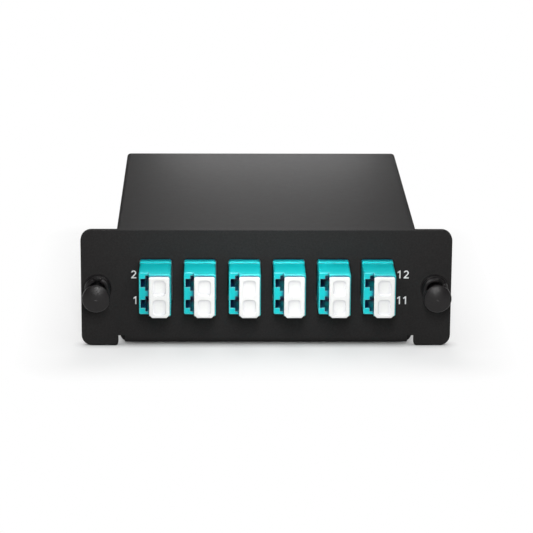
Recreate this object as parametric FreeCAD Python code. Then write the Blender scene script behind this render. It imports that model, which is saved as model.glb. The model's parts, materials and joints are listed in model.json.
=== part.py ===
import FreeCAD, Part
import math
import os

# Fibre cassette: six duplex LC ports in front, one multi-fibre (MPO) port behind.
# Millimetres. X runs right, Y runs back and Z runs up, seen from the front.
# The origin is on the rear face of the front panel, at the middle of its width and height.

V = FreeCAD.Vector

# Sheet-metal box
panel_width = 109.0
panel_height = 35.3
panel_corner = 3.2
tray_sheet = 1.6
tray_bend = 0.6            # inside radius of the tray's folds
ear_width = 10.4           # of the panel, beyond the cover's sides
box_depth = 99.0           # from the panel's rear face to the back of the cover
floor_rise = 0.6           # from the ears' lower edge up to the underside of the floor
relief_width = 1.9         # slots that part the ears from the fold
relief_inset = 0.4         # of their outer sides from the cover's sides
relief_height = 3.1
relief_corner = 1.0
fold_clearance = 0.3       # between an edge and the fold beside it

# Cover
cover_sheet = 0.8
cover_bend = 0.3
cover_gap = 0.1            # between the cover and the tray
cover_drop = 0.8           # from the panel's upper edge down to the cover
side_lip = 9.0
back_lip = 4.0

# Cover screws and the clinch nuts that they go into
screw_radius = 1.25
screw_head_radius = 2.25
screw_length = 5.2
screw_drive_span = 2.7     # of the cross in the screw's head
screw_drive_slot = 0.65
screw_drive_depth = 0.55
screw_from_panel = 17.0
screw_from_back = 18.0
screw_drop = 5.0           # from the cover's top to the screws' axes
nut_radius = 2.75
nut_shank_radius = 2.1
nut_height = 1.5
thread_clearance = 0.03

# Latches in the ears
latch_inset = 4.9          # from the panel's side edge to the latch's axis
grommet_rim_radius = 3.95
grommet_rim = 0.9
grommet_rim_bevel = 0.3
grommet_waist_radius = 3.5
grommet_waist = 0.5
grommet_collar_radius = 3.85
grommet_collar = 1.5
grommet_bevel = 0.5
grommet_cup_radius = 2.7
grommet_cup_depth = 2.3
grommet_neck_radius = 2.8
grommet_leg_radius = 3.0
grommet_leg_length = 7.0
grommet_leg_bevel = 0.5
grommet_leg_slot = 0.9
grommet_ring = 1.2         # left whole in front of the slots between the legs
panel_hole_clearance = 0.1
pry_width_inside = 1.6
pry_width_outside = 3.2
pry_turn_left = 0.0        # degrees from the top, seen from the front
pry_turn_right = 33.0
plunger_radius = 2.1
plunger_clearance = 0.06
plunger_head_radius = 4.05
plunger_head = 1.7
plunger_head_dome = 0.9
plunger_head_edge = 0.45
plunger_travel = 7.5
plunger_stop_gap = 0.2     # left between the head and the collar when it is pushed home
plunger_reach = 2.0        # of the plunger's tip behind the panel, when it is out
plunger_tip_bevel = 0.6

# LC adapters
adapter_count = 6
adapter_margin = 9.1       # from the end adapters' middles to the tray's side walls
adapter_row = 2.1          # height of the row of adapters
adapter_width = 9.2
adapter_height = 12.6
adapter_corner = 0.5
adapter_bevel = 0.2        # round the front faces
adapter_clearance = 0.2    # round the body, in the panel's cut-out
collar_height = 13.5
collar_depth = 3.0
collar_edge = 0.4
latch_side_width = 2.95    # of the shorter side of the adapter's face
latch_side_reach = 12.6    # in front of the panel
port_side_reach = 14.6
rear_latch_reach = 10.0    # behind the panel
rear_port_reach = 12.0
port_pitch = 6.25
port_offset = 1.6          # from the adapter's middle to the ports' axes
port_size = 4.6
latch_slot_reach = 4.38    # from a port's axis to the end of its wide slot
latch_slot_narrow = 5.75   # and to the end of its narrow one
latch_slot_height = 2.5
web_thickness = 1.6
sleeve_radius = 0.81
sleeve_bore = 0.635
sleeve_length = 6.8
sleeve_slit = 0.25
sleeve_clearance = 0.02
holder_radius = 1.3
holder_lip = 0.4
holder_mouth = 0.68

# Spring clips behind the panel
clip_sheet = 0.3
clip_gap = 0.03
clip_depth = 5.0
clip_lip = 1.8
clip_tab_width = 4.0
clip_tab_rise = 1.3

# Dust plugs in the LC ports
dust_plug_width = 5.95
dust_plug_height = 12.2
dust_plug_sink = 0.45      # of its middle under the adapter's
dust_plug_plate = 1.0
dust_plug_corner = 0.55
dust_plug_bevel = 0.9
dust_plug_edge = 0.2       # bevel round the plate's face
dust_plug_seat = 0.05      # between the plate and the adapter's face
prong_size = 4.4
prong_length = 7.0
prong_nose = 0.5
recess_width = 3.76
recess_height = 4.65
recess_corner = 1.1
recess_depth = 0.6
recess_round = 0.35        # where the recess's sides meet its floor
recess_pitch = 5.8
recess_sink = 0.05

# LC plugs inside the box
plug_size = 4.4
plug_front = 3.0           # from the panel's rear face
plug_length = 16.0
plug_latch_thickness = 0.6
plug_latch_height = 2.2
plug_latch_length = 12.5
plug_latch_rise = 2.3
boot_length = 11.0
boot_shoulder = 4.0
boot_radius = 1.7
boot_tail_radius = 1.1
ferrule_radius = 0.625
fibre_radius = 0.45

# Fan-out block and the leads to it
fanout_width = 18.0
fanout_length = 14.0
fanout_gap = 8.6           # from the block to the back wall
fanout_pitch = 3.0
fanout_top = 2.4           # above the upper row of leads
fanout_corner = 1.0
lead_run = 9.0             # straight on from a boot, and into the block
trunk_radius = 0.8
trunk_run = 22.0

# MPO adapter, its plug inside the box and its dust cap
mpo_x = 22.0
mpo_rise = 7.0             # from the floor up to the port's middle
mpo_width = 12.7
mpo_height = 9.8
mpo_clearance = 0.15
mpo_flange_width = 22.4
mpo_flange = 1.6
mpo_flange_corner = 1.0
mpo_inside = 9.0           # in front of the back wall
mpo_outside = 13.0         # behind it
mpo_bore_width = 10.6
mpo_bore_height = 7.0
mpo_key_width = 3.0
mpo_key_height = 0.8
mpo_web = 1.2
mpo_window_width = 7.2
mpo_window_height = 3.2
mpo_screw_spacing = 17.8
mpo_screw_radius = 1.0
mpo_screw_head_radius = 1.9
mpo_screw_head = 1.2
mpo_screw_length = 5.0
mpo_screw_slot = 0.5
mpo_screw_clearance = 0.1
mpo_housing_width = 9.6
mpo_housing_height = 6.0
mpo_housing_length = 26.0
mpo_slider_width = 12.0
mpo_slider_height = 7.8
mpo_slider_length = 11.5
mpo_slider_gap = 0.1
mpo_slider_stand_off = 0.5
mpo_slider_corner = 0.5
mpo_slider_travel = 1.2
mpo_stop = 1.0             # thickness of the housing's shoulder behind the slider
mpo_stop_gap = 0.1         # left between the two when the slider is drawn back
mpo_spring_room = 2.5      # radius of the bore behind the ferrule
mpo_housing_wall = 2.0     # left behind that bore
mpo_ferrule_width = 6.4
mpo_ferrule_height = 2.5
mpo_ferrule_length = 8.0
mpo_ferrule_gap = 0.1
pin_radius = 0.35
pin_spacing = 4.6
pin_projection = 2.0
mpo_boot_length = 9.0
mpo_boot_radius = 2.6
mpo_boot_end_radius = 1.5
mpo_cap_width = 10.2
mpo_cap_height = 6.6
mpo_cap_insert = 8.0
mpo_cap_plate = 1.4
mpo_cap_margin = 1.0
mpo_cap_grip = 6.0
mpo_cap_grip_thickness = 2.4
mpo_cap_corner = 0.8

# Places that follow from the sizes above
panel_face = -tray_sheet
panel_half = panel_width / 2
panel_top = panel_height / 2
panel_bottom = -panel_height / 2
cover_half = panel_half - ear_width
tray_half = cover_half - cover_sheet - cover_gap
tray_inside = tray_half - tray_sheet
relief_outside = cover_half - relief_inset
fold_half = relief_outside - relief_width
floor_under = panel_bottom + floor_rise
floor_top = floor_under + tray_sheet
bend_outside = tray_bend + tray_sheet
cover_top = panel_top - cover_drop
cover_under = cover_top - cover_sheet
cover_bend_outside = cover_bend + cover_sheet
wall_top = cover_under - cover_gap
tray_back = box_depth - cover_sheet - cover_gap
back_inside = tray_back - tray_sheet
latch_x = panel_half - latch_inset
collar_front = panel_face - grommet_rim - grommet_waist - grommet_collar
head_rear = collar_front - plunger_stop_gap - plunger_travel
screw_rows = (screw_from_panel, box_depth - screw_from_back)
screw_height = cover_top - screw_drop
adapter_pitch = 2 * (tray_inside - adapter_margin) / (adapter_count - 1)
ports = (adapter_row + port_pitch / 2, adapter_row - port_pitch / 2)
web_middle = panel_face
plug_back = plug_front + plug_length
boot_end = plug_back + boot_length
fanout_front = back_inside - fanout_gap - fanout_length
mpo_z = floor_top + mpo_rise
mpo_inner_end = back_inside - mpo_inside
mpo_outer_end = tray_back + mpo_outside
mpo_middle = (mpo_inner_end + mpo_outer_end) / 2
slider_front = mpo_inner_end - mpo_slider_stand_off
slider_back = slider_front - mpo_slider_length
housing_front = mpo_middle - mpo_web / 2 - mpo_ferrule_gap
ferrule_back = housing_front - mpo_ferrule_length
housing_back = housing_front - mpo_housing_length
mpo_boot_end = housing_back - mpo_boot_length


def adapter_x(index):
    """The middle of one adapter, counted from the left."""
    return (index - (adapter_count - 1) / 2) * adapter_pitch


def corner(before, point, after, radius):
    """Start, middle and end of the tangent arc that rounds a corner."""
    back = V(before - point).normalize()
    on = V(after - point).normalize()
    half = back.getAngle(on) / 2
    start = point + back * (radius / math.tan(half))
    end = point + on * (radius / math.tan(half))
    centre = point + V(back + on).normalize() * (radius / math.sin(half))
    middle = centre + V(point - centre).normalize() * radius
    return start, middle, end


def line(start, end):
    return Part.LineSegment(start, end).toShape()


def closed_outline(corners):
    """A closed wire from (point, radius) pairs. A radius of 0 leaves the corner sharp."""
    points = [point for point, _ in corners]
    arcs = []
    for i, (point, radius) in enumerate(corners):
        if radius > 0:
            after = points[(i + 1) % len(points)]
            arcs.append(corner(points[i - 1], point, after, radius))
        else:
            arcs.append((point, point, point))
    edges = []
    for i, (start, middle, end) in enumerate(arcs):
        if (end - start).Length > 1e-6:
            edges.append(Part.Arc(start, middle, end).toShape())
        following = arcs[(i + 1) % len(arcs)][0]
        if (following - end).Length > 1e-6:
            edges.append(line(end, following))
    return Part.Wire(edges)


def prism(corners, along):
    return Part.Face(closed_outline(corners)).extrude(along)


def prism_y(corners, y_from, y_to):
    """A prism along Y from ((x, z), radius) pairs."""
    at = [(V(x, y_from, z), radius) for (x, z), radius in corners]
    return prism(at, V(0, y_to - y_from, 0))


def prism_x(corners, x_from, x_to):
    """A prism along X from ((y, z), radius) pairs."""
    at = [(V(x_from, y, z), radius) for (y, z), radius in corners]
    return prism(at, V(x_to - x_from, 0, 0))


def rectangle(x, z, width, height, radius=0.0):
    """The corners of an upright rectangle round a point."""
    w = width / 2
    h = height / 2
    places = [(x - w, z - h), (x + w, z - h), (x + w, z + h), (x - w, z + h)]
    return [(place, radius) for place in places]


def block(x, y, z):
    """A box from three (low, high) pairs."""
    return Part.makeBox(x[1] - x[0], y[1] - y[0], z[1] - z[0], V(x[0], y[0], z[0]))


def rod(x, z, radius, y_from, y_to):
    """A round bar along Y."""
    return Part.makeCylinder(radius, y_to - y_from, V(x, y_from, z), V(0, 1, 0))


def cone(x, z, radius_from, radius_to, y_from, y_to):
    return Part.makeCone(radius_from, radius_to, y_to - y_from, V(x, y_from, z), V(0, 1, 0))


def turned(x, z, profile):
    """A solid of revolution about an axis along Y, from ((radius, y), rounding) pairs."""
    at = [(V(x + radius, y, z), rounding) for (radius, y), rounding in profile]
    return Part.Face(closed_outline(at)).revolve(V(x, 0, z), V(0, 1, 0), 360)


def edges_at(solid, y):
    """The edges that lie in one plane across Y."""
    return [edge for edge in solid.Edges
            if abs(edge.BoundBox.YMin - y) < 1e-6 and abs(edge.BoundBox.YMax - y) < 1e-6]


def joined(shapes):
    whole = shapes[0].fuse(shapes[1:]) if len(shapes) > 1 else shapes[0]
    return whole.removeSplitter()


def tube(points, radius):
    """A round lead along straight runs with tangent arcs between them."""
    edges = []
    at = points[0]
    for before, point, after in zip(points, points[1:], points[2:]):
        half_turn = (math.pi - V(before - point).getAngle(after - point)) / 2
        if half_turn < 1e-3:
            continue
        run = min((before - point).Length, (after - point).Length)
        start, middle, end = corner(before, point, after, 0.45 * run / math.tan(half_turn))
        edges.append(line(at, start))
        edges.append(Part.Arc(start, middle, end).toShape())
        at = end
    edges.append(line(at, points[-1]))
    path = Part.Wire(edges)
    first = V(points[1] - points[0]).normalize()
    section = Part.Wire([Part.makeCircle(radius, points[0], first)])
    return path.makePipeShell([section], True, False)


# Sheet metal

def base_tray():
    """The panel, floor, sides and back, folded from one sheet."""
    half = panel_half
    notch_top = panel_bottom + relief_height
    plate = prism_y([
        ((-half, panel_top), panel_corner),
        ((half, panel_top), panel_corner),
        ((half, panel_bottom), panel_corner),
        ((relief_outside, panel_bottom), relief_corner),
        ((relief_outside, notch_top), 0),
        ((-relief_outside, notch_top), 0),
        ((-relief_outside, panel_bottom), relief_corner),
        ((-half, panel_bottom), panel_corner),
    ], panel_face, 0)
    front_fold = prism_x([
        ((panel_face, notch_top), 0),
        ((panel_face, floor_under), bend_outside),
        ((tray_back / 2, floor_under), 0),
        ((tray_back / 2, floor_top), 0),
        ((0, floor_top), tray_bend),
        ((0, notch_top), 0),
    ], -fold_half, fold_half)
    back_fold = prism_x([
        ((tray_back / 2, floor_under), 0),
        ((tray_back, floor_under), bend_outside),
        ((tray_back, wall_top), 0),
        ((back_inside, wall_top), 0),
        ((back_inside, floor_top), tray_bend),
        ((tray_back / 2, floor_top), 0),
    ], -tray_half, tray_half)
    sides_front = panel_face + bend_outside + fold_clearance
    sides_back = tray_back - bend_outside - fold_clearance
    inside = tray_inside
    sides = prism_y([
        ((-tray_half, wall_top), 0),
        ((-tray_half, floor_under), bend_outside),
        ((tray_half, floor_under), bend_outside),
        ((tray_half, wall_top), 0),
        ((inside, wall_top), 0),
        ((inside, floor_top), tray_bend),
        ((-inside, floor_top), tray_bend),
        ((-inside, wall_top), 0),
    ], sides_front, sides_back)
    corners = [block(side, (tray_back / 2, tray_back), (floor_under, floor_top))
               for side in ((-tray_half, -inside + tray_bend), (inside - tray_bend, tray_half))]
    ends = []
    for side in ((-tray_half, -inside), (inside, tray_half)):
        upright = (floor_under + bend_outside, wall_top)
        ends.append(block(side, (fold_clearance, sides_front), upright))
        ends.append(block(side, (sides_back, back_inside - fold_clearance), upright))
    tray = joined([plate, front_fold, back_fold.cut(Part.makeCompound(corners)), sides] + ends)
    return tray.cut(Part.makeCompound(tray_holes()))


def tray_holes():
    """Everything that is punched through the tray."""
    front = (panel_face - 1, 1)
    back = (back_inside - 1, tray_back + 1)
    holes = []
    for i in range(adapter_count):
        width = adapter_width + 2 * adapter_clearance
        height = adapter_height + 2 * adapter_clearance
        holes.append(prism_y(rectangle(adapter_x(i), adapter_row, width, height, adapter_corner), *front))
    for side in (-1, 1):
        radius = grommet_neck_radius + panel_hole_clearance
        holes.append(rod(side * latch_x, 0, radius, *front))
        at = mpo_x + side * mpo_screw_spacing / 2
        holes.append(rod(at, mpo_z, mpo_screw_radius + thread_clearance, *back))
        for y in screw_rows:
            start = V(side * (tray_inside - 1), y, screw_height)
            holes.append(Part.makeCylinder(nut_shank_radius, tray_sheet + 2, start, V(side, 0, 0)))
    width = mpo_width + 2 * mpo_clearance
    height = mpo_height + 2 * mpo_clearance
    holes.append(prism_y(rectangle(mpo_x, mpo_z, width, height, adapter_corner), *back))
    return holes


def top_cover():
    """The lid, with lips down both sides and the back."""
    half = cover_half
    inside = half - cover_sheet
    lip = cover_top - side_lip
    shell = prism_y([
        ((-half, lip), 0),
        ((-half, cover_top), cover_bend_outside),
        ((half, cover_top), cover_bend_outside),
        ((half, lip), 0),
        ((inside, lip), 0),
        ((inside, cover_under), cover_bend),
        ((-inside, cover_under), cover_bend),
        ((-inside, lip), 0),
    ], cover_gap, box_depth - cover_bend_outside)
    back_half = half - cover_bend_outside
    back = prism_x([
        ((box_depth / 2, cover_top), 0),
        ((box_depth, cover_top), cover_bend_outside),
        ((box_depth, cover_top - back_lip), 0),
        ((box_depth - cover_sheet, cover_top - back_lip), 0),
        ((box_depth - cover_sheet, cover_under), cover_bend),
        ((box_depth / 2, cover_under), 0),
    ], -back_half, back_half)
    cover = joined([shell, back])
    sinks = []
    for side in (-1, 1):
        for y in screw_rows:
            outside = V(side * half, y, screw_height)
            inwards = V(-side, 0, 0)
            hole = screw_radius + thread_clearance
            sinks.append(Part.makeCone(screw_head_radius, screw_radius, cover_sheet, outside, inwards))
            sinks.append(Part.makeCylinder(hole, 2 * cover_sheet, outside, inwards))
    return cover.cut(Part.makeCompound(sinks))


def cover_screws():
    """Four countersunk screws, with a cross slot in each head."""
    screws = []
    for side in (-1, 1):
        for y in screw_rows:
            outside = V(side * cover_half, y, screw_height)
            inwards = V(-side, 0, 0)
            head = Part.makeCone(screw_head_radius, screw_radius, cover_sheet, outside, inwards)
            shank = Part.makeCylinder(screw_radius, screw_length, outside, inwards)
            reach = screw_drive_span / 2
            thin = screw_drive_slot / 2
            depth = sorted((side * cover_half, side * (cover_half - screw_drive_depth)))
            slots = [block(depth, (y - reach, y + reach), (screw_height - thin, screw_height + thin)),
                     block(depth, (y - thin, y + thin), (screw_height - reach, screw_height + reach))]
            screws.append(head.fuse(shank).removeSplitter().cut(Part.makeCompound(slots)))
    return screws


def clinch_nuts():
    """Four threaded bushes, pressed into the side walls from inside."""
    nuts = []
    for side in (-1, 1):
        for y in screw_rows:
            outside = V(side * tray_half, y, screw_height)
            inwards = V(-side, 0, 0)
            shank = Part.makeCylinder(nut_shank_radius, tray_sheet, outside, inwards)
            head = Part.makeCylinder(nut_radius, nut_height, outside + inwards * tray_sheet, inwards)
            through = tray_sheet + nut_height
            bore = Part.makeCylinder(screw_radius + thread_clearance, through, outside, inwards)
            nuts.append(shank.fuse(head).removeSplitter().cut(bore))
    return nuts


# Latches

def latch_grommet(x, turn):
    """The split bush that is snapped into an ear: rim, collar with a pry notch, cup and four legs."""
    rim = panel_face - grommet_rim
    waist = rim - grommet_waist
    bore = plunger_radius + plunger_clearance
    body = turned(x, 0, [
        ((bore, collar_front + grommet_cup_depth), 0),
        ((grommet_cup_radius, collar_front + grommet_cup_depth), 0),
        ((grommet_cup_radius, collar_front), 0),
        ((grommet_collar_radius - grommet_bevel, collar_front), 0),
        ((grommet_collar_radius, collar_front + grommet_bevel), 0),
        ((grommet_collar_radius, waist), 0),
        ((grommet_waist_radius, waist), 0),
        ((grommet_waist_radius, rim), 0),
        ((grommet_rim_radius - grommet_rim_bevel, rim), 0),
        ((grommet_rim_radius, rim + grommet_rim_bevel), 0),
        ((grommet_rim_radius, panel_face), 0),
        ((grommet_neck_radius, panel_face), 0),
        ((grommet_neck_radius, 0), 0),
        ((grommet_leg_radius, panel_hole_clearance), 0),
        ((grommet_leg_radius, grommet_leg_length - grommet_leg_bevel), 0),
        ((grommet_leg_radius - grommet_leg_bevel, grommet_leg_length), 0),
        ((bore, grommet_leg_length), 0),
    ])
    reach = grommet_leg_radius + 1
    thin = grommet_leg_slot / 2
    along = (panel_face + grommet_ring, grommet_leg_length + 1)
    slots = [block((x - reach, x + reach), along, (-thin, thin)),
             block((x - thin, x + thin), along, (-reach, reach))]
    inner = plunger_radius
    outer = grommet_collar_radius + 1
    spread = (pry_width_outside - pry_width_inside) / 2
    widen = spread / (grommet_collar_radius - grommet_cup_radius)
    half_inner = pry_width_inside / 2 - widen * (grommet_cup_radius - inner)
    half_outer = pry_width_outside / 2 + widen
    notch = prism_y([
        ((x - half_inner, inner), 0),
        ((x - half_outer, outer), 0),
        ((x + half_outer, outer), 0),
        ((x + half_inner, inner), 0),
    ], collar_front - 1, waist)
    notch.rotate(V(x, 0, 0), V(0, 1, 0), turn)
    return body.cut(Part.makeCompound(slots + [notch]))


def latch_plunger(x):
    """The pin that is pushed into the bush to spread its legs, drawn out as it stands released."""
    face = head_rear - plunger_head
    rim = face + plunger_head_dome
    spread = plunger_head_radius ** 2 + plunger_head_dome ** 2
    dome_radius = spread / (2 * plunger_head_dome)
    tangents_meet = spread / (2 * plunger_head_radius)
    pin = turned(x, 0, [
        ((0, face), 0),
        ((tangents_meet, face), dome_radius),
        ((plunger_head_radius, rim), 0),
        ((plunger_head_radius, head_rear), 0),
        ((plunger_radius, head_rear), 0),
        ((plunger_radius, plunger_reach - plunger_tip_bevel), 0),
        ((plunger_radius - plunger_tip_bevel, plunger_reach), 0),
        ((0, plunger_reach), 0),
    ])
    return pin.makeFillet(plunger_head_edge, edges_at(pin, rim))


# LC adapters and what goes into them

def port_section(x, z):
    """One LC port's opening: the square for the plug, and the stepped slot for its latch."""
    half = port_size / 2
    slot = latch_slot_height / 2
    return [
        ((x + half, z - half), 0),
        ((x + half, z + half), 0),
        ((x - latch_slot_reach, z + half), 0),
        ((x - latch_slot_reach, z + slot), 0),
        ((x - latch_slot_narrow, z + slot), 0),
        ((x - latch_slot_narrow, z - slot), 0),
        ((x - latch_slot_reach, z - slot), 0),
        ((x - latch_slot_reach, z - half), 0),
    ]


def lc_adapter(x):
    """A duplex adapter: collar, stepped faces, four ports and the two tubes that hold the sleeves."""
    front = panel_face - port_side_reach
    latch_front = panel_face - latch_side_reach
    shoulder = panel_face - collar_depth
    outline = rectangle(x, adapter_row, adapter_width, adapter_height, adapter_corner)
    latch_side = prism_y(outline, latch_front, rear_latch_reach)
    latch_side = latch_side.makeChamfer(adapter_bevel, edges_at(latch_side, latch_front))
    step = x - adapter_width / 2 + latch_side_width
    right = x + adapter_width / 2
    low = adapter_row - adapter_height / 2
    high = adapter_row + adapter_height / 2
    port_side = prism_y([
        ((step, low), 0),
        ((right, low), adapter_corner),
        ((right, high), adapter_corner),
        ((step, high), 0),
    ], front, rear_port_reach)
    port_side = port_side.makeChamfer(adapter_bevel, edges_at(port_side, front))
    outline = rectangle(x, adapter_row, adapter_width, collar_height, adapter_corner)
    collar = prism_y(outline, shoulder, panel_face)
    lengthwise = [edge for edge in edges_at(collar, shoulder) if edge.BoundBox.XLength > adapter_width / 2]
    collar = collar.makeChamfer(collar_edge, lengthwise)
    axis = x + port_offset
    web = (web_middle - web_thickness / 2, web_middle + web_thickness / 2)
    cavities = []
    tubes = []
    bores = []
    seat = sleeve_length / 2 + sleeve_clearance
    holder = seat + holder_lip
    for z in ports:
        cavities.append(prism_y(port_section(axis, z), front - 1, web[0]))
        cavities.append(prism_y(port_section(axis, z), web[1], rear_port_reach + 1))
        tubes.append(rod(axis, z, holder_radius, web_middle - holder, web_middle + holder))
        bores.append(rod(axis, z, holder_mouth, web_middle - holder - 1, web_middle + holder + 1))
        bores.append(rod(axis, z, sleeve_radius + sleeve_clearance, web_middle - seat, web_middle + seat))
    shell = joined([latch_side, port_side, collar]).cut(Part.makeCompound(cavities))
    return joined([shell] + tubes).cut(bores[0].fuse(bores[1:]))


def adapter_clip(x):
    """The spring steel band round an adapter, with two tabs that press on the back of the panel."""
    grow = clip_gap + clip_sheet
    right = x + adapter_width / 2 + grow
    left = x - adapter_width / 2 - grow
    top = adapter_row + adapter_height / 2 + grow
    bottom = adapter_row - adapter_height / 2 - grow
    outer = adapter_corner + grow
    inner = adapter_corner + clip_gap
    band = prism_y([
        ((left, top), outer),
        ((right, top), outer),
        ((right, bottom), outer),
        ((left, bottom), outer),
        ((left, bottom + clip_lip), 0),
        ((left + clip_sheet, bottom + clip_lip), 0),
        ((left + clip_sheet, bottom + clip_sheet), inner),
        ((right - clip_sheet, bottom + clip_sheet), inner),
        ((right - clip_sheet, top - clip_sheet), inner),
        ((left + clip_sheet, top - clip_sheet), inner),
        ((left + clip_sheet, top - clip_lip), 0),
        ((left, top - clip_lip), 0),
    ], clip_gap, clip_depth)
    tabs = []
    for edge, way in ((top, 1), (bottom, -1)):
        tabs.append(prism_x([
            ((clip_depth - clip_sheet, edge - way * clip_sheet), 0),
            ((clip_gap, edge + way * (clip_tab_rise - clip_sheet)), 0),
            ((clip_gap, edge + way * clip_tab_rise), 0),
            ((clip_depth, edge - way * clip_sheet), 0),
        ], x - clip_tab_width / 2, x + clip_tab_width / 2))
    return joined([band] + tabs)


def prong(x, z, rear):
    """A square peg behind a dust plug's plate, with a tapered nose."""
    nose = rear + prong_length - prong_nose
    sections = []
    for y, size in ((nose, prong_size), (nose + prong_nose, prong_size - 2 * prong_nose)):
        corners = rectangle(x, z, size, size)
        sections.append(closed_outline([(V(px, y, pz), 0) for (px, pz), _ in corners]))
    shank = prism_y(rectangle(x, z, prong_size, prong_size), rear, nose)
    return shank.fuse(Part.makeLoft(sections, True, True))


def dust_plug(x):
    """A duplex dust plug: a plate with two finger recesses, and a prong for each port."""
    axis = x + port_offset
    middle = adapter_row - dust_plug_sink
    rear = panel_face - port_side_reach - dust_plug_seat
    face = rear - dust_plug_plate
    half = dust_plug_width / 2
    low = middle - dust_plug_height / 2
    high = middle + dust_plug_height / 2
    centre = x - adapter_width / 2 + latch_side_width + half
    plate = prism_y([
        ((centre - half, low + dust_plug_bevel), 0),
        ((centre - half + dust_plug_bevel, low), 0),
        ((centre + half - dust_plug_bevel, low), 0),
        ((centre + half, low + dust_plug_bevel), 0),
        ((centre + half, high), dust_plug_corner),
        ((centre - half, high), dust_plug_corner),
    ], face, rear)
    plate = plate.makeChamfer(dust_plug_edge, edges_at(plate, face))
    recesses = []
    prongs = []
    for row, z in zip((1, -1), ports):
        height = middle - recess_sink + row * recess_pitch / 2
        place = rectangle(centre, height, recess_width, recess_height, recess_corner)
        recess = prism_y(place, face - 1, face + recess_depth)
        recesses.append(recess.makeFillet(recess_round, edges_at(recess, face + recess_depth)))
        prongs.append(prong(axis, z, rear))
    return joined([plate] + prongs).cut(Part.makeCompound(recesses))


def alignment_sleeves():
    """The split ceramic sleeves, one in each port's tube."""
    sleeves = []
    for i in range(adapter_count):
        axis = adapter_x(i) + port_offset
        for z in ports:
            ends = (web_middle - sleeve_length / 2, web_middle + sleeve_length / 2)
            sleeve = rod(axis, z, sleeve_radius, *ends).cut(rod(axis, z, sleeve_bore, *ends))
            slit = block((axis - sleeve_slit / 2, axis + sleeve_slit / 2), ends, (z, z + 2 * sleeve_radius))
            sleeves.append(sleeve.cut(slit))
    return sleeves


def lc_plugs(x):
    """The pair of plugs in the rear ports of one adapter."""
    axis = x + port_offset
    plugs = []
    for z in ports:
        body = prism_y(rectangle(axis, z, plug_size, plug_size), plug_front, plug_back)
        side = axis - plug_size / 2
        thick = plug_latch_thickness
        start = plug_front + 2 * thick
        arm = [
            V(side, start, z), V(side - thick, start + thick, z),
            V(side - plug_latch_rise, start + plug_latch_length, z),
            V(side - plug_latch_rise + thick, start + plug_latch_length, z),
            V(side, start + 4 * thick, z),
        ]
        low = V(0, 0, -plug_latch_height / 2)
        latch = prism([(point + low, 0) for point in arm], V(0, 0, plug_latch_height))
        plugs.append(joined([body, latch]).cut(rod(axis, z, ferrule_radius, plug_front, plug_back)))
    return plugs


def lc_boots():
    """The soft boots behind all twelve plugs."""
    boots = []
    for i in range(adapter_count):
        axis = adapter_x(i) + port_offset
        for z in ports:
            shoulder = rod(axis, z, boot_radius, plug_back, plug_back + boot_shoulder)
            tail = rod(axis, z, boot_tail_radius, plug_back + boot_shoulder, boot_end)
            boots.append(shoulder.fuse(tail))
    return boots


def lc_ferrules():
    """The ceramic ferrules, from the middle of each sleeve back into its plug."""
    return [rod(adapter_x(i) + port_offset, z, ferrule_radius, web_middle, plug_back)
            for i in range(adapter_count) for z in ports]


def fibre_leads(index):
    """The two leads from one adapter's plugs to the fan-out block."""
    start = adapter_x(index) + port_offset
    end = (index - (adapter_count - 1) / 2) * fanout_pitch
    leads = []
    for z in ports:
        leads.append(tube([
            V(start, boot_end, z),
            V(start, boot_end + lead_run, z),
            V(end, fanout_front - lead_run, z),
            V(end, fanout_front, z),
        ], fibre_radius))
    return leads


def fanout_block():
    """The block on the floor where the trunk parts into twelve leads."""
    half = fanout_width / 2
    top = ports[0] + fanout_top
    return prism_y([
        ((-half, floor_top), 0),
        ((half, floor_top), 0),
        ((half, top), fanout_corner),
        ((-half, top), fanout_corner),
    ], fanout_front, fanout_front + fanout_length)


def trunk_fibre():
    """The trunk from the fan-out block round to the MPO plug's boot."""
    return tube([
        V(0, fanout_front, mpo_z),
        V(0, fanout_front - trunk_run, mpo_z),
        V(mpo_x, fanout_front - trunk_run, mpo_z),
        V(mpo_x, mpo_boot_end, mpo_z),
    ], trunk_radius)


# MPO port

def mpo_rectangle(width, height, radius=0.0):
    return rectangle(mpo_x, mpo_z, width, height, radius)


def mpo_section():
    """The port's opening: a rectangle with the keyway on top of it."""
    w = mpo_bore_width / 2
    h = mpo_bore_height / 2
    key = mpo_key_width / 2
    rise = mpo_key_height
    return [
        ((mpo_x - w, mpo_z - h), 0),
        ((mpo_x + w, mpo_z - h), 0),
        ((mpo_x + w, mpo_z + h), 0),
        ((mpo_x + key, mpo_z + h), 0),
        ((mpo_x + key, mpo_z + h + rise), 0),
        ((mpo_x - key, mpo_z + h + rise), 0),
        ((mpo_x - key, mpo_z + h), 0),
        ((mpo_x - w, mpo_z + h), 0),
    ]


def mpo_adapter():
    """The adapter in the back wall, with its flange outside."""
    body = prism_y(mpo_rectangle(mpo_width, mpo_height, adapter_corner), mpo_inner_end, mpo_outer_end)
    seat = tray_back + mpo_flange
    flange = prism_y(mpo_rectangle(mpo_flange_width, mpo_height, mpo_flange_corner), tray_back, seat)
    web = (mpo_middle - mpo_web / 2, mpo_middle + mpo_web / 2)
    bores = [
        prism_y(mpo_section(), mpo_inner_end - 1, web[0]),
        prism_y(mpo_section(), web[1], mpo_outer_end + 1),
        prism_y(mpo_rectangle(mpo_window_width, mpo_window_height), web[0] - 1, web[1] + 1),
    ]
    for side in (-1, 1):
        at = mpo_x + side * mpo_screw_spacing / 2
        bores.append(rod(at, mpo_z, mpo_screw_radius + mpo_screw_clearance, tray_back - 1, seat + 1))
    return joined([body, flange]).cut(bores[0].fuse(bores[1:]))


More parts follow.
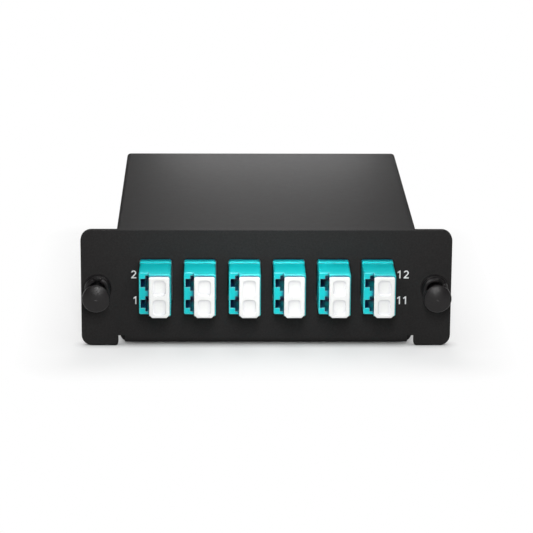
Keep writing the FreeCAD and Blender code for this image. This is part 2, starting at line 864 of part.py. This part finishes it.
def mpo_adapter_screws():
    """The two slotted screws through the flange, threaded into the back wall."""
    screws = []
    for side in (-1, 1):
        at = mpo_x + side * mpo_screw_spacing / 2
        seat = tray_back + mpo_flange
        head = rod(at, mpo_z, mpo_screw_head_radius, seat, seat + mpo_screw_head)
        shank = rod(at, mpo_z, mpo_screw_radius, seat - mpo_screw_length, seat)
        slot = block((at - mpo_screw_head_radius, at + mpo_screw_head_radius),
                     (seat + mpo_screw_head / 2, seat + mpo_screw_head),
                     (mpo_z - mpo_screw_slot / 2, mpo_z + mpo_screw_slot / 2))
        screws.append(head.fuse(shank).removeSplitter().cut(slot))
    return screws


def mpo_plug_housing():
    """The plug's inner housing, hollow for the ferrule, with the shoulder that stops its slider."""
    body = prism_y(mpo_rectangle(mpo_housing_width, mpo_housing_height), housing_back, housing_front)
    shoulder_front = slider_back - mpo_slider_travel - mpo_stop_gap
    outline = mpo_rectangle(mpo_slider_width, mpo_slider_height)
    shoulder = prism_y(outline, shoulder_front - mpo_stop, shoulder_front)
    width = mpo_ferrule_width + 2 * mpo_ferrule_gap
    height = mpo_ferrule_height + 2 * mpo_ferrule_gap
    end = ferrule_back - mpo_ferrule_gap
    cavity = prism_y(mpo_rectangle(width, height), end, housing_front)
    spring_room = rod(mpo_x, mpo_z, mpo_spring_room, housing_back + mpo_housing_wall, end)
    return joined([body, shoulder]).cut(cavity.fuse(spring_room))


def mpo_slider():
    """The sleeve round the plug that is drawn back to free it."""
    outline = mpo_rectangle(mpo_slider_width, mpo_slider_height, mpo_slider_corner)
    width = mpo_housing_width + 2 * mpo_slider_gap
    height = mpo_housing_height + 2 * mpo_slider_gap
    bore = prism_y(mpo_rectangle(width, height), slider_back, slider_front)
    return prism_y(outline, slider_back, slider_front).cut(bore)


def mpo_ferrule():
    """The flat twelve-fibre ferrule, bored for its two guide pins."""
    outline = mpo_rectangle(mpo_ferrule_width, mpo_ferrule_height)
    body = prism_y(outline, ferrule_back, housing_front)
    holes = [rod(mpo_x + side * pin_spacing / 2, mpo_z, pin_radius, ferrule_back, housing_front)
             for side in (-1, 1)]
    return body.cut(Part.makeCompound(holes))


def mpo_guide_pins():
    """The two pins, from the back of the ferrule out into the port."""
    tip = housing_front + pin_projection
    return [rod(mpo_x + side * pin_spacing / 2, mpo_z, pin_radius, ferrule_back, tip)
            for side in (-1, 1)]


def mpo_boot():
    return cone(mpo_x, mpo_z, mpo_boot_end_radius, mpo_boot_radius, mpo_boot_end, housing_back)


def mpo_dust_cap():
    """The cap in the rear port: an insert, a plate over the rim and a grip."""
    plate_front = mpo_outer_end + dust_plug_seat
    plate_back = plate_front + mpo_cap_plate
    outline = mpo_rectangle(mpo_cap_width, mpo_cap_height)
    insert = prism_y(outline, mpo_outer_end - mpo_cap_insert, plate_front)
    outline = mpo_rectangle(mpo_width - mpo_cap_margin, mpo_height - mpo_cap_margin, mpo_cap_corner)
    plate = prism_y(outline, plate_front, plate_back)
    outline = mpo_rectangle(mpo_cap_width, mpo_cap_grip_thickness, mpo_cap_corner)
    grip = prism_y(outline, plate_back, plate_back + mpo_cap_grip)
    return joined([insert, plate, grip])


def write(name, shape):
    """One STEP file for one piece, or for a group of like pieces."""
    solids = shape if isinstance(shape, list) else shape.Solids
    solids = [solid for piece in solids for solid in piece.Solids]
    whole = solids[0] if len(solids) == 1 else Part.makeCompound(solids)
    if not whole.isValid():
        raise ValueError(name + " is not a valid solid")
    whole.exportStep(os.path.join("parts", name + ".step"))
    print(f"{name}: {len(solids)} solid(s), {whole.Volume:.1f} mm3")


def main():
    os.makedirs("parts", exist_ok=True)
    write("base_tray", base_tray())
    write("top_cover", top_cover())
    write("cover_screws", cover_screws())
    write("clinch_nuts", clinch_nuts())
    for name, side, turn in (("left", -1, pry_turn_left), ("right", 1, pry_turn_right)):
        write("latch_grommet_" + name, latch_grommet(side * latch_x, turn))
        write("latch_plunger_" + name, latch_plunger(side * latch_x))
    for i in range(adapter_count):
        number = str(i + 1)
        write("lc_adapter_" + number, lc_adapter(adapter_x(i)))
        write("adapter_clip_" + number, adapter_clip(adapter_x(i)))
        write("dust_plug_" + number, dust_plug(adapter_x(i)))
        write("lc_plugs_" + number, lc_plugs(adapter_x(i)))
        write("fibre_leads_" + number, fibre_leads(i))
    write("alignment_sleeves", alignment_sleeves())
    write("lc_ferrules", lc_ferrules())
    write("lc_boots", lc_boots())
    write("fanout_block", fanout_block())
    write("trunk_fibre", trunk_fibre())
    write("mpo_adapter", mpo_adapter())
    write("mpo_adapter_screws", mpo_adapter_screws())
    write("mpo_plug_housing", mpo_plug_housing())
    write("mpo_slider", mpo_slider())
    write("mpo_ferrule", mpo_ferrule())
    write("mpo_guide_pins", mpo_guide_pins())
    write("mpo_boot", mpo_boot())
    write("mpo_dust_cap", mpo_dust_cap())


main()
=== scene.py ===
import json
import math

import bmesh
import bpy
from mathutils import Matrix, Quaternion, Vector


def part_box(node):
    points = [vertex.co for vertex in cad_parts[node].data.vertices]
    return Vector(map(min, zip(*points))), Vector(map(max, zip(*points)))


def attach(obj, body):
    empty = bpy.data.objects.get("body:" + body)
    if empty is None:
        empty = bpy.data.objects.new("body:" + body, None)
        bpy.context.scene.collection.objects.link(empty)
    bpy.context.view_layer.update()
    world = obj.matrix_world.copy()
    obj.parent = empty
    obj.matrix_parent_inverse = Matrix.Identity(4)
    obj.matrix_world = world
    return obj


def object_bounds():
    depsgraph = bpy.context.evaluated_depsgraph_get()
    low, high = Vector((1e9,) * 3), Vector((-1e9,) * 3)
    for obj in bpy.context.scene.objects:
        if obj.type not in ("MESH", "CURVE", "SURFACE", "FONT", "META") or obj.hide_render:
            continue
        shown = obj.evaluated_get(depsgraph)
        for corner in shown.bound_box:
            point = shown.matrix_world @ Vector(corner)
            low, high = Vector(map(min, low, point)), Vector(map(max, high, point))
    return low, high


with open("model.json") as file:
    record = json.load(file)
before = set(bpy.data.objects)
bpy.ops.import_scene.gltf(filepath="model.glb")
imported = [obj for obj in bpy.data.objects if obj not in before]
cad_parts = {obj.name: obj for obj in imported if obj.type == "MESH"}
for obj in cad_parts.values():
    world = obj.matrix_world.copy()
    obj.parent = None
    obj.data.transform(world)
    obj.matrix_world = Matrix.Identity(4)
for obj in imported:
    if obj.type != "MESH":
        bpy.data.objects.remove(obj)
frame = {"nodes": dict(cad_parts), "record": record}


def measure():
    return [list(point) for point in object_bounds()]


cadBounds = measure()
nodes = frame["nodes"]
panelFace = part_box("base_tray")[0].y
print("frame loaded:", len(nodes), "nodes")


# Helpers for shader trees

def addNode(tree, kind, values=None, **settings):
    node = tree.nodes.new(kind)
    for name, value in settings.items():
        setattr(node, name, value)
    for name, value in (values or {}).items():
        node.inputs[name].default_value = value
    return node


def newGroup(name, inputs, outputs):
    group = bpy.data.node_groups.new(name, "ShaderNodeTree")
    for title, value in inputs.items():
        socket = group.interface.new_socket(
            name=title, in_out="INPUT", socket_type="NodeSocketFloat")
        socket.default_value = value
    for title, kind in outputs.items():
        group.interface.new_socket(
            name=title, in_out="OUTPUT", socket_type="NodeSocket" + kind)
    return group, group.nodes.new("NodeGroupInput"), group.nodes.new("NodeGroupOutput")


def useGroup(tree, group, values):
    return addNode(tree, "ShaderNodeGroup", values, node_tree=group)


screenCurve = {"toe": 0.04045, "toeSlope": 12.92, "lift": 0.055, "power": 2.4}


def screenColour(red, green, blue):  # linear colour from the one seen on a screen
    def channel(c):
        if c <= screenCurve["toe"]:
            return c / screenCurve["toeSlope"]
        return ((c + screenCurve["lift"]) / (1 + screenCurve["lift"])) ** screenCurve["power"]
    return (channel(red), channel(green), channel(blue), 1.0)


# Effects that several finishes share

grainNoise = {
    "grain": {"Detail": 2.0, "Roughness": 0.6}, "wave": {"Detail": 1.0},
    "fleck": {"From Min": 0.35, "From Max": 0.75},  # where on the grain its flecks come up
}
samples = {"edge": 6, "recess": 8, "paintedContactShadow": 8}


def makeGrainGroup():  # fine bumps of one size over softer waves of another
    group, given, result = newGroup(
        "surfaceGrain", {"Grain Size": 0.0004, "Wave Size": 0.002, "Wave Share": 0.3},
        {"Height": "Float", "Fleck": "Float"})
    place = addNode(group, "ShaderNodeTexCoord")
    grainScale = addNode(group, "ShaderNodeMath", {0: 1.0}, operation="DIVIDE")
    waveScale = addNode(group, "ShaderNodeMath", {0: 1.0}, operation="DIVIDE")
    grain = addNode(group, "ShaderNodeTexNoise", grainNoise["grain"])
    wave = addNode(group, "ShaderNodeTexNoise", grainNoise["wave"])
    height = addNode(group, "ShaderNodeMix", data_type="FLOAT")
    fleck = addNode(group, "ShaderNodeMapRange", grainNoise["fleck"])
    link = group.links.new
    link(given.outputs["Grain Size"], grainScale.inputs[1])
    link(given.outputs["Wave Size"], waveScale.inputs[1])
    link(grainScale.outputs[0], grain.inputs["Scale"])
    link(waveScale.outputs[0], wave.inputs["Scale"])
    link(place.outputs["Object"], grain.inputs["Vector"])
    link(place.outputs["Object"], wave.inputs["Vector"])
    link(given.outputs["Wave Share"], height.inputs["Factor"])
    link(grain.outputs["Fac"], height.inputs["A"])
    link(wave.outputs["Fac"], height.inputs["B"])
    link(grain.outputs["Fac"], fleck.inputs["Value"])
    link(height.outputs["Result"], result.inputs["Height"])
    link(fleck.outputs["Result"], result.inputs["Fleck"])
    return group


def makeEdgeGroup():  # rounds the edges of a moulding or a sheet, and says where they are for a painted edge highlight
    group, given, result = newGroup(
        "roundedEdge", {"Radius": 0.0002, "Reach": 3.0}, {"Normal": "Vector", "Edge": "Float"})
    bevel = addNode(group, "ShaderNodeBevel", samples=samples["edge"])
    flat = addNode(group, "ShaderNodeNewGeometry")
    along = addNode(group, "ShaderNodeVectorMath", operation="DOT_PRODUCT")
    away = addNode(group, "ShaderNodeMath", {0: 1.0}, operation="SUBTRACT")
    edge = addNode(group, "ShaderNodeMath", operation="MULTIPLY", use_clamp=True)
    link = group.links.new
    link(given.outputs["Radius"], bevel.inputs["Radius"])
    link(bevel.outputs["Normal"], along.inputs[0])
    link(flat.outputs["Normal"], along.inputs[1])
    link(along.outputs["Value"], away.inputs[1])
    link(away.outputs[0], edge.inputs[0])
    link(given.outputs["Reach"], edge.inputs[1])
    link(bevel.outputs["Normal"], result.inputs["Normal"])
    link(edge.outputs[0], result.inputs["Edge"])
    return group


def makeRecessShadeGroup():  # painted shade: 0 on an open face, 1 deep inside a slot or a gap
    group, given, result = newGroup(
        "paintedRecessShade", {"Distance": 0.003, "Open": 0.6, "Deep": 0.15}, {"Recess Shade": "Float"})
    openness = addNode(group, "ShaderNodeAmbientOcclusion", samples=samples["recess"])
    recess = addNode(group, "ShaderNodeMapRange")
    link = group.links.new
    link(given.outputs["Distance"], openness.inputs["Distance"])
    link(openness.outputs["AO"], recess.inputs["Value"])
    link(given.outputs["Open"], recess.inputs["From Min"])
    link(given.outputs["Deep"], recess.inputs["From Max"])
    link(recess.outputs["Result"], result.inputs["Recess Shade"])
    return group


grainGroup = makeGrainGroup()
edgeGroup = makeEdgeGroup()
recessGroup = makeRecessShadeGroup()
mixSockets = {"first": 6, "second": 7, "mixed": 2}  # the colour sockets of a Mix node


def mixColours(tree, factor, first, second):  # each colour is a socket or four numbers
    mix = addNode(tree, "ShaderNodeMix", data_type="RGBA")
    tree.links.new(factor, mix.inputs["Factor"])
    for colour, place in ((first, "first"), (second, "second")):
        socket = mix.inputs[mixSockets[place]]
        if isinstance(colour, tuple):
            socket.default_value = colour
        else:
            tree.links.new(colour, socket)
    return mix.outputs[mixSockets["mixed"]]


def makeFinish(name, look):
    material = bpy.data.materials.new(name)
    material.use_nodes = True
    tree = material.node_tree
    tree.nodes.clear()
    link = tree.links.new
    output = addNode(tree, "ShaderNodeOutputMaterial")
    shader = addNode(tree, "ShaderNodeBsdfPrincipled", look.get("shader"))
    link(shader.outputs["BSDF"], output.inputs["Surface"])
    grain = useGroup(tree, grainGroup, look["grain"])
    edge = useGroup(tree, edgeGroup, look["edge"])
    plain, fleck = screenColour(*look["colour"]), screenColour(*look["fleck"])
    colour = mixColours(tree, grain.outputs["Fleck"], plain, fleck)
    # painted highlight along the edges
    colour = mixColours(tree, edge.outputs["Edge"], colour, screenColour(*look["edgeHighlightColour"]))
    # painted shade, darker in slots, gaps and hollows
    if "recessColour" in look:
        recess = useGroup(tree, recessGroup, look["recess"])
        shade = screenColour(*look["recessColour"])
        colour = mixColours(tree, recess.outputs["Recess Shade"], colour, shade)
    link(colour, shader.inputs["Base Color"])
    low, high = look["roughness"]
    roughness = addNode(tree, "ShaderNodeMapRange", {"To Min": low, "To Max": high})
    link(grain.outputs["Height"], roughness.inputs["Value"])
    link(roughness.outputs["Result"], shader.inputs["Roughness"])
    bump = addNode(tree, "ShaderNodeBump", {"Distance": look["bump"]})
    link(grain.outputs["Height"], bump.inputs["Height"])
    link(edge.outputs["Normal"], bump.inputs["Normal"])
    link(bump.outputs["Normal"], shader.inputs["Normal"])
    return material


# Finishes

# In each look the edge colour is a painted highlight along the edges, and the recess colour is
# painted shade in slots, gaps and hollows.
powderCoat = {
    "colour": (0.163, 0.159, 0.159), "fleck": (0.188, 0.184, 0.184),
    # painted shade: a dark line round the adapters in the panel
    "edgeHighlightColour": (0.30, 0.297, 0.297), "recessColour": (0.03, 0.03, 0.03),
    "recess": {"Distance": 0.0015, "Open": 0.75, "Deep": 0.4},
    "roughness": (0.60, 0.76), "bump": 0.00003,
    "grain": {"Grain Size": 0.0005, "Wave Size": 0.0022, "Wave Share": 0.35},
    "edge": {"Radius": 0.0003, "Reach": 1.8},
    "shader": {"Specular IOR Level": 0.04},
}
aquaMoulding = {
    "colour": (0.0, 0.79, 0.81), "fleck": (0.0, 0.80, 0.82), "edgeHighlightColour": (0.78, 1.0, 1.0),
    # painted shade: dark blue inside the slots
    "recessColour": (0.08, 0.16, 0.38),
    "recess": {"Distance": 0.003, "Open": 0.78, "Deep": 0.55},
    "roughness": (0.27, 0.36), "bump": 0.000004,
    "grain": {"Grain Size": 0.0006, "Wave Size": 0.004, "Wave Share": 0.6},
    "edge": {"Radius": 0.00025, "Reach": 2.5},
    "shader": {"Specular IOR Level": 0.35},
}
whiteMoulding = {
    "colour": (0.95, 0.955, 0.95), "fleck": (0.96, 0.965, 0.96),
    # painted shade: soft grey in the plug's hollows
    "edgeHighlightColour": (0.975, 0.98, 0.98), "recessColour": (0.90, 0.905, 0.92),
    "recess": {"Distance": 0.0011, "Open": 0.97, "Deep": 0.60},
    "roughness": (0.34, 0.44), "bump": 0.000004,
    "grain": {"Grain Size": 0.0006, "Wave Size": 0.004, "Wave Share": 0.6},
    "edge": {"Radius": 0.0002, "Reach": 1.5},
}
blackNylon = {
    "colour": (0.08, 0.071, 0.074), "fleck": (0.097, 0.087, 0.09),
    # painted shade: dark in the knob's cup and notch
    "edgeHighlightColour": (0.11, 0.10, 0.104), "recessColour": (0.012, 0.012, 0.012),
    "recess": {"Distance": 0.002, "Open": 0.80, "Deep": 0.45},
    "roughness": (0.34, 0.44), "bump": 0.000006,
    "grain": {"Grain Size": 0.0004, "Wave Size": 0.002, "Wave Share": 0.4},
    "edge": {"Radius": 0.0003, "Reach": 0.3},
    "shader": {"Specular IOR Level": 0.28},
}
blackMoulding = {
    "colour": (0.12, 0.12, 0.125), "fleck": (0.15, 0.15, 0.155), "edgeHighlightColour": (0.24, 0.24, 0.245),
    "roughness": (0.38, 0.5), "bump": 0.00001,
    "grain": {"Grain Size": 0.0004, "Wave Size": 0.003, "Wave Share": 0.4},
    "edge": {"Radius": 0.0002, "Reach": 1.5},
}
beigeMoulding = {
    "colour": (0.86, 0.80, 0.66), "fleck": (0.88, 0.82, 0.69), "edgeHighlightColour": (0.93, 0.88, 0.77),
    "roughness": (0.36, 0.46), "bump": 0.000005,
    "grain": {"Grain Size": 0.0004, "Wave Size": 0.003, "Wave Share": 0.5},
    "edge": {"Radius": 0.00015, "Reach": 1.5},
}
whiteBoot = {
    "colour": (0.88, 0.88, 0.87), "fleck": (0.91, 0.91, 0.90), "edgeHighlightColour": (0.94, 0.94, 0.93),
    "roughness": (0.55, 0.7), "bump": 0.00001,
    "grain": {"Grain Size": 0.0003, "Wave Size": 0.002, "Wave Share": 0.3},
    "edge": {"Radius": 0.0002, "Reach": 1.0},
}
aquaJacket = {
    "colour": (0.10, 0.74, 0.76), "fleck": (0.14, 0.78, 0.80), "edgeHighlightColour": (0.3, 0.85, 0.86),
    "roughness": (0.42, 0.55), "bump": 0.000004,
    "grain": {"Grain Size": 0.0003, "Wave Size": 0.004, "Wave Share": 0.5},
    "edge": {"Radius": 0.0001, "Reach": 1.0},
}
zirconia = {
    "colour": (0.95, 0.95, 0.93), "fleck": (0.97, 0.97, 0.95), "edgeHighlightColour": (0.98, 0.98, 0.97),
    "roughness": (0.12, 0.2), "bump": 0.000001,
    "grain": {"Grain Size": 0.0001, "Wave Size": 0.001, "Wave Share": 0.2},
    "edge": {"Radius": 0.00005, "Reach": 1.0},
}
steelStrip = {
    "colour": (0.62, 0.63, 0.64), "fleck": (0.70, 0.71, 0.72), "edgeHighlightColour": (0.85, 0.86, 0.87),
    "roughness": (0.26, 0.4), "bump": 0.000003,
    "grain": {"Grain Size": 0.0002, "Wave Size": 0.002, "Wave Share": 0.5},
    "edge": {"Radius": 0.00008, "Reach": 1.0}, "shader": {"Metallic": 1.0},
}
zincPlate = {
    "colour": (0.70, 0.71, 0.74), "fleck": (0.78, 0.79, 0.80), "edgeHighlightColour": (0.90, 0.91, 0.92),
    "roughness": (0.22, 0.36), "bump": 0.000004,
    "grain": {"Grain Size": 0.0003, "Wave Size": 0.0015, "Wave Share": 0.5},
    "edge": {"Radius": 0.0001, "Reach": 1.0}, "shader": {"Metallic": 1.0},
}
blackZinc = {
    "colour": (0.15, 0.15, 0.16), "fleck": (0.22, 0.22, 0.23), "edgeHighlightColour": (0.38, 0.38, 0.40),
    "roughness": (0.25, 0.4), "bump": 0.000005,
    "grain": {"Grain Size": 0.0003, "Wave Size": 0.0015, "Wave Share": 0.4},
    "edge": {"Radius": 0.00012, "Reach": 1.5}, "shader": {"Metallic": 0.85},
}
whiteInk = {
    "colour": (0.93, 0.93, 0.93), "fleck": (0.86, 0.86, 0.86), "edgeHighlightColour": (0.9, 0.9, 0.9),
    "roughness": (0.5, 0.65), "bump": 0.00001,
    "grain": {"Grain Size": 0.0004, "Wave Size": 0.002, "Wave Share": 0.3},
    "edge": {"Radius": 0.00003, "Reach": 1.0},
}

looks = {
    "powder_coat": powderCoat, "aqua_moulding": aquaMoulding, "white_plastic": whiteMoulding,
    "black_nylon": blackNylon, "black_moulding": blackMoulding, "beige_moulding": beigeMoulding,
    "white_boot": whiteBoot, "aqua_jacket": aquaJacket, "ceramic": zirconia,
    "spring_steel": steelStrip, "steel": zincPlate, "black_zinc": blackZinc,
    "white_ink": whiteInk,
}
finishes = {slot: makeFinish(slot, look) for slot, look in looks.items()}
print("finishes made:", len(finishes))


def dressNodes():  # every solid takes the finish of its own slot
    for part in frame["record"]["subparts"]:
        mesh = nodes[part["node"]].data
        mesh.materials.clear()
        mesh.materials.append(finishes[part["material_slot"]])


dressNodes()
print("solids dressed")


# Printed port numbers

portNumbers = {
    "height": 0.00242, "ink": 0.00002,  # in metres; the next three rows are shares of the height
    "stroke": 0.145, "step": 0.74,  # from one figure to the next
    "stem": 0.36, "flag": 0.20,  # of the 1
    "width": 0.62,  # of the 2
    "flagCut": 0.2, "footInside": 1.7, "footLeft": 0.9,  # shares of the stroke
    "bowlStart": 168.0, "bowlEnd": -42.0, "arcSteps": 20,
    "leftEdge": -0.03825, "rightEdge": 0.0386,
    "upperRow": 0.00300, "lowerRow": -0.00490,  # undersides of the figures
}


def figureOne():
    right, stroke = portNumbers["stem"], portNumbers["stroke"]
    left, flag = right - stroke, portNumbers["flag"]
    top = left + stroke * portNumbers["flagCut"]
    return [(right, 0), (right, 1), (top, 1), (0, 1 - flag),
            (0, 1 - flag - stroke), (left, 1 - flag / 2 - stroke), (left, 0)]


def figureTwo():
    width, stroke = portNumbers["width"], portNumbers["stroke"]
    outer = width / 2
    inner = outer - stroke
    steps = portNumbers["arcSteps"]
    first, last = math.radians(portNumbers["bowlStart"]), math.radians(portNumbers["bowlEnd"])
    turns = [first + (last - first) * i / steps for i in range(steps + 1)]

    def onBowl(turn, radius):
        return outer + radius * math.cos(turn), 1 - outer + radius * math.sin(turn)

    over = [onBowl(turn, outer) for turn in turns]
    under = [onBowl(turn, inner) for turn in reversed(turns)]
    inside, left = stroke * portNumbers["footInside"], stroke * portNumbers["footLeft"]
    foot = [(inside, stroke), (width, stroke), (width, 0), (0, 0), (0, left)]
    return over + foot + under


figures = {"1": (figureOne, portNumbers["stem"]), "2": (figureTwo, portNumbers["width"])}


def printNumber(text, edge, foot, toLeft):
    height, ink = portNumbers["height"], portNumbers["ink"]
    reach = portNumbers["step"] * (len(text) - 1) + figures[text[-1]][1]
    start = edge - reach * height if toLeft else edge
    drawn = bmesh.new()
    for place, figure in enumerate(text):
        outline = [(start + (x + place * portNumbers["step"]) * height, foot + z * height)
                   for x, z in figures[figure][0]()]
        face = drawn.faces.new([drawn.verts.new((x, panelFace, z)) for x, z in outline])
        raised = bmesh.ops.extrude_face_region(drawn, geom=[face])
        front = [item for item in raised["geom"] if isinstance(item, bmesh.types.BMVert)]
        bmesh.ops.translate(drawn, verts=front, vec=(0, -ink, 0))
    bmesh.ops.recalc_face_normals(drawn, faces=drawn.faces)
    mesh = bpy.data.meshes.new("port_number_" + text)
    drawn.to_mesh(mesh)
    drawn.free()
    mesh.materials.append(finishes["white_ink"])
    number = bpy.data.objects.new(mesh.name, mesh)
    bpy.context.scene.collection.objects.link(number)
    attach(number, "cassette")


def printNumbers():
    left, right = portNumbers["leftEdge"], portNumbers["rightEdge"]
    printNumber("2", left, portNumbers["upperRow"], True)
    printNumber("1", left, portNumbers["lowerRow"], True)
    printNumber("12", right, portNumbers["upperRow"], False)
    printNumber("11", right, portNumbers["lowerRow"], False)


printNumbers()
print("port numbers printed")


# Floor, light and camera

plainWhite = {"Color": (1.0, 1.0, 1.0, 1.0), "Strength": 1.0}


def seenDirectly(tree):  # 1 for what the camera sees, and for what metal and glass show
    rays = addNode(tree, "ShaderNodeLightPath")
    shown = rays.outputs["Is Camera Ray"]
    for ray in ("Is Glossy Ray", "Is Transmission Ray"):
        more = addNode(tree, "ShaderNodeMath", operation="MAXIMUM")
        tree.links.new(shown, more.inputs[0])
        tree.links.new(rays.outputs[ray], more.inputs[1])
        shown = more.outputs[0]
    return shown


floorLook = {
    "reach": 3.0, "colour": (0.45, 0.45, 0.45, 1.0),
    "seenColour": (0.95, 0.95, 0.95, 1.0),  # as the camera sees it
    "whiteAtFoot": 0.64,  # the share of plain white over it beside the object
    "allWhite": 0.019,  # how far out that share is whole
    "paintedContactShadowReach": 0.0035,  # painted contact shadow, a thin dark line under the object
}


def floorFinish():  # plain white away from the object, its shadow kept round the foot, with a painted contact shadow along it
    low, high = Vector(cadBounds[0]), Vector(cadBounds[1])
    middle, half = (low + high) / 2, (high - low) / 2
    material = bpy.data.materials.new("paleFloor")
    material.use_nodes = True
    tree = material.node_tree
    tree.nodes.clear()
    place = addNode(tree, "ShaderNodeTexCoord")
    fromMiddle = addNode(tree, "ShaderNodeVectorMath", {1: middle}, operation="SUBTRACT")
    oneSide = addNode(tree, "ShaderNodeVectorMath", operation="ABSOLUTE")
    fromFoot = addNode(tree, "ShaderNodeVectorMath", {1: half}, operation="SUBTRACT")
    outside = addNode(tree, "ShaderNodeVectorMath", {1: Vector()}, operation="MAXIMUM")
    away = addNode(tree, "ShaderNodeVectorMath", operation="LENGTH")
    share = addNode(tree, "ShaderNodeMapRange", {
        "From Min": 0.0, "From Max": floorLook["allWhite"],
        "To Min": floorLook["whiteAtFoot"], "To Max": 1.0})
    # painted contact shadow: the white darkens where the object is close
    paintedContactShadow = addNode(tree, "ShaderNodeAmbientOcclusion", {"Distance": floorLook["paintedContactShadowReach"]},
                      samples=samples["paintedContactShadow"])
    shadowed = addNode(tree, "ShaderNodeBsdfDiffuse", {"Color": floorLook["seenColour"]})
    white = addNode(tree, "ShaderNodeEmission", plainWhite)
    seen = addNode(tree, "ShaderNodeMixShader")
    lit = addNode(tree, "ShaderNodeBsdfDiffuse", {"Color": floorLook["colour"]})
    either = addNode(tree, "ShaderNodeMixShader")
    output = addNode(tree, "ShaderNodeOutputMaterial")
    link = tree.links.new
    link(place.outputs["Object"], fromMiddle.inputs[0])
    link(fromMiddle.outputs["Vector"], oneSide.inputs[0])
    link(oneSide.outputs["Vector"], fromFoot.inputs[0])
    link(fromFoot.outputs["Vector"], outside.inputs[0])
    link(outside.outputs["Vector"], away.inputs[0])
    link(away.outputs["Value"], share.inputs["Value"])
    link(share.outputs["Result"], seen.inputs["Fac"])
    link(paintedContactShadow.outputs["Color"], white.inputs["Color"])
    link(shadowed.outputs[0], seen.inputs[1])
    link(white.outputs[0], seen.inputs[2])
    link(seenDirectly(tree), either.inputs["Fac"])
    link(lit.outputs[0], either.inputs[1])
    link(seen.outputs[0], either.inputs[2])
    link(either.outputs[0], output.inputs["Surface"])
    return material


def makeFloor():
    reach, under = floorLook["reach"], Vector(cadBounds[0]).z
    corners = [(-reach, -reach), (reach, -reach), (reach, reach), (-reach, reach)]
    mesh = bpy.data.meshes.new("floor")
    mesh.from_pydata([(x, y, under) for x, y in corners], [], [(0, 1, 2, 3)])
    mesh.materials.append(floorFinish())
    floor = bpy.data.objects.new("floor", mesh)
    bpy.context.scene.collection.objects.link(floor)


skyLook = {
    "light": 0.12,
    "whiteFrom": 0.6, "allWhite": 0.9,  # heights on the sky's dome, where 1 is straight up
}


def makeSky():  # soft light all round, shown white from overhead
    world = bpy.data.worlds.new("studioSky")
    bpy.context.scene.world = world
    world.use_nodes = True
    tree = world.node_tree
    tree.nodes.clear()
    light = addNode(tree, "ShaderNodeBackground", {**plainWhite, "Strength": skyLook["light"]})
    seen = addNode(tree, "ShaderNodeBackground", plainWhite)
    direction = addNode(tree, "ShaderNodeTexCoord")
    parts = addNode(tree, "ShaderNodeSeparateXYZ")
    overhead = addNode(tree, "ShaderNodeMapRange",
                       {"From Min": skyLook["whiteFrom"], "From Max": skyLook["allWhite"]})
    share = addNode(tree, "ShaderNodeMath", operation="MULTIPLY")
    mix = addNode(tree, "ShaderNodeMixShader")
    output = addNode(tree, "ShaderNodeOutputWorld")
    link = tree.links.new
    link(direction.outputs["Generated"], parts.inputs["Vector"])
    link(parts.outputs["Z"], overhead.inputs["Value"])
    link(overhead.outputs["Result"], share.inputs[0])
    link(seenDirectly(tree), share.inputs[1])
    link(share.outputs[0], mix.inputs["Fac"])
    link(light.outputs["Background"], mix.inputs[1])
    link(seen.outputs["Background"], mix.inputs[2])
    link(mix.outputs["Shader"], output.inputs["Surface"])


lamps = {
    "frontLamp": {"place": (0.0, -0.58, 0.24), "aim": (0.0, 0.0, 0.0),
                  "size": (0.06, 0.26), "power": 0.180, "spread": 45},
    "nearLamp": {"place": (0.0, -0.042, 0.060), "aim": (0.0, 0.0, 0.01),
                 "size": (0.04, 0.03), "power": 0.028, "spread": 180},
    "rimLamp": {"place": (0.0, 0.265, 0.315), "aim": (0.0, 0.0, 0.01),
                "size": (0.25, 0.24), "power": 0.76, "spread": 180},
    "rearLamp": {"place": (0.004, 0.165, 0.045), "aim": (0.002, 0.105, 0.017),
                 "size": (0.075, 0.03), "power": 0.0092, "spread": 50},
    "leftLamp": {"place": (-0.45, 0.14, 0.08), "aim": (0.0, 0.06, 0.0),
                 "size": (0.2, 0.2), "power": 0.07, "spread": 60},
    "rightLamp": {"place": (0.45, 0.14, 0.08), "aim": (0.0, 0.06, 0.0),
                  "size": (0.2, 0.2), "power": 0.07, "spread": 60},
}


def pointAt(thing, target):
    thing.rotation_euler = (Vector(target) - thing.location).to_track_quat("-Z", "Y").to_euler()


def makeLamps():
    for name, lamp in lamps.items():
        light = bpy.data.lights.new(name, "AREA")
        light.shape = "RECTANGLE"
        light.size, light.size_y = lamp["size"]
        light.energy = lamp["power"]
        light.spread = math.radians(lamp["spread"])
        thing = bpy.data.objects.new(name, light)
        thing.visible_camera = False
        thing.location = lamp["place"]
        pointAt(thing, lamp["aim"])
        bpy.context.scene.collection.objects.link(thing)


camera = {
    "distance": 0.74888, "azimuth": -1.171, "elevation": 16.498, "roll": 0.347,
    "aim": (0.0, 0.0, 0.00663),  # from the middle of the panel's face
    "lens": 171.79, "sensorWidth": 36.0,
}


def makeCamera():
    data = bpy.data.cameras.new("camera")
    data.lens = camera["lens"]
    data.sensor_width = camera["sensorWidth"]
    azimuth, elevation = math.radians(camera["azimuth"]), math.radians(camera["elevation"])
    level = math.cos(elevation)
    away = Vector((math.sin(azimuth) * level, -math.cos(azimuth) * level, math.sin(elevation)))
    panelMiddle = Vector((0.0, panelFace, 0.0))
    thing = bpy.data.objects.new("camera", data)
    thing.location = panelMiddle + away * camera["distance"]
    pointAt(thing, panelMiddle + Vector(camera["aim"]))
    lineOfSight = (0.0, 0.0, 1.0)  # the camera's own axis
    roll = Quaternion(lineOfSight, math.radians(camera["roll"]))
    thing.rotation_euler = (thing.rotation_euler.to_quaternion() @ roll).to_euler()
    bpy.context.scene.collection.objects.link(thing)
    bpy.context.scene.camera = thing


makeFloor()
makeSky()
makeLamps()
makeCamera()
bpy.context.scene.view_settings.view_transform = "Standard"
print("studio ready")
